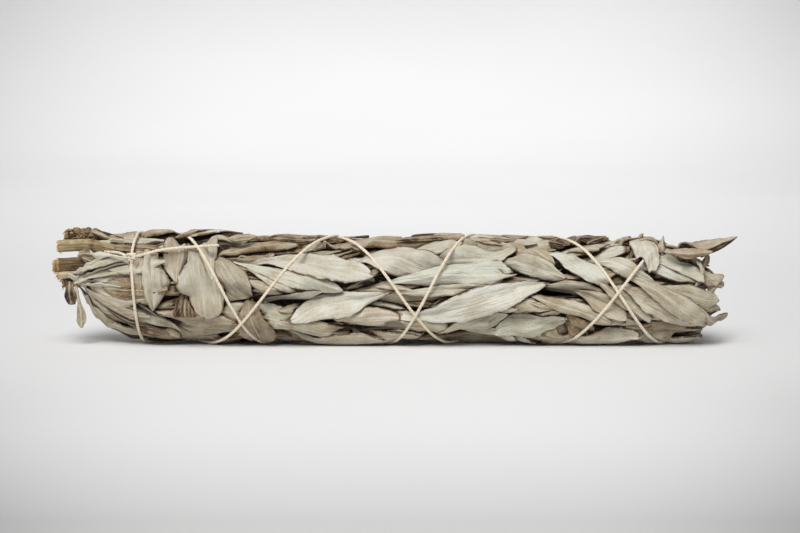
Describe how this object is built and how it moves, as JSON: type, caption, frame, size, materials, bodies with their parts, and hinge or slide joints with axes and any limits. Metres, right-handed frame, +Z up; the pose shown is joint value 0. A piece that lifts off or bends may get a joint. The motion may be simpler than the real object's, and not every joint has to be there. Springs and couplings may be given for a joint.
{
  "type": "dried white sage bunch",
  "caption": "Dried sage stems bundled into a long stick, their pale leaves pressed flat and bound along the length with thin criss-crossed cotton twine.",
  "frame": {"origin": "bottom centre of the bunch's box, on the surface that it lies on", "axes": "+X along the bunch from its cut stems to its leaf tips, +Z up, -Y the side with the knot and the wrapped leaves"},
  "size_m": [0.2292, 0.0388, 0.0391],
  "materials": {
    "leaf": "dried felted sage leaf, matte, pale grey-green to buff",
    "wrapper_leaf": "broad dried sage leaf, matte, grey-buff with browner edges",
    "stem": "dried woody stem, matte, bark brown to straw",
    "twine": "thin undyed cotton twine, matte, with loose fibres"
  },
  "bodies": {
    "root": {"cut_stem_1": "stem", "cut_stem_2": "stem", "cut_stem_3": "stem", "cut_stem_4": "stem", "cut_stem_5": "stem", "cut_stem_6": "stem", "cut_stem_7": "stem", "cut_stem_8": "stem", "cut_stem_9": "stem", "leafy_stem_1": "leaf", "leafy_stem_2": "leaf", "leafy_stem_3": "leaf", "leafy_stem_4": "leaf", "leafy_stem_5": "leaf", "leafy_stem_6": "leaf", "leafy_stem_7": "leaf", "leafy_stem_8": "leaf", "wrapper_leaf_1": "wrapper_leaf", "wrapper_leaf_2": "wrapper_leaf", "wrapper_leaf_3": "wrapper_leaf", "wrapper_leaf_4": "wrapper_leaf", "wrapper_leaf_5": "wrapper_leaf", "wrapper_leaf_6": "wrapper_leaf", "wrapper_leaf_7": "wrapper_leaf", "wrapper_leaf_8": "wrapper_leaf", "twine": "twine"}
  },
  "joints": []
}
